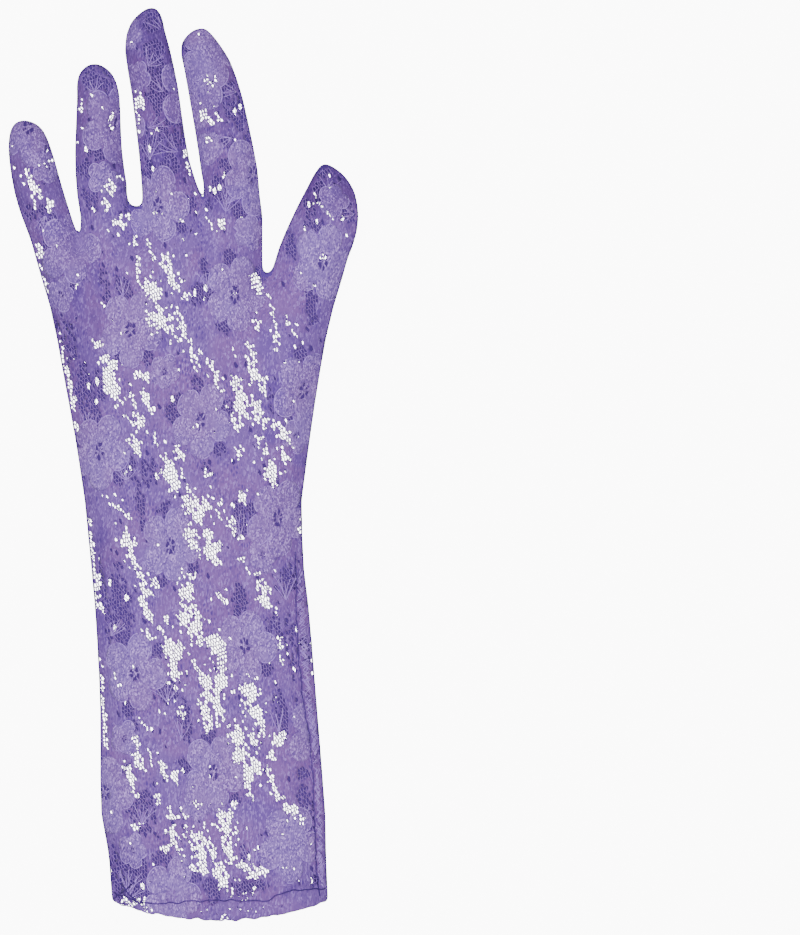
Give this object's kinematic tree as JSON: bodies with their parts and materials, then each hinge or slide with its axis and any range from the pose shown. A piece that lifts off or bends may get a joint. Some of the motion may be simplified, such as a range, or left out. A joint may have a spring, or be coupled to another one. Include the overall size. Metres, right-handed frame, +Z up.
{
  "type": "openwork glove",
  "caption": "Long openwork lace glove for the left hand, lying palm down, with a floral net, closed fingertips, a doubled hem at the open mouth and a side seam.",
  "frame": {"origin": "under the middle of the glove's box, on the surface that it lies on", "axes": "+Y towards the fingertips, +X towards the thumb side, +Z up from the surface"},
  "size_m": [0.14, 0.3656, 0.013],
  "materials": {
    "back_lace": "matt lace",
    "palm_lace": "matt lace",
    "hem_lace": "matt lace",
    "seam_cloth": "matt"
  },
  "bodies": {
    "root": {"back_panel": "back_lace", "palm_panel": "palm_lace", "cuff_hem": "hem_lace", "side_seam": "seam_cloth"}
  },
  "joints": []
}
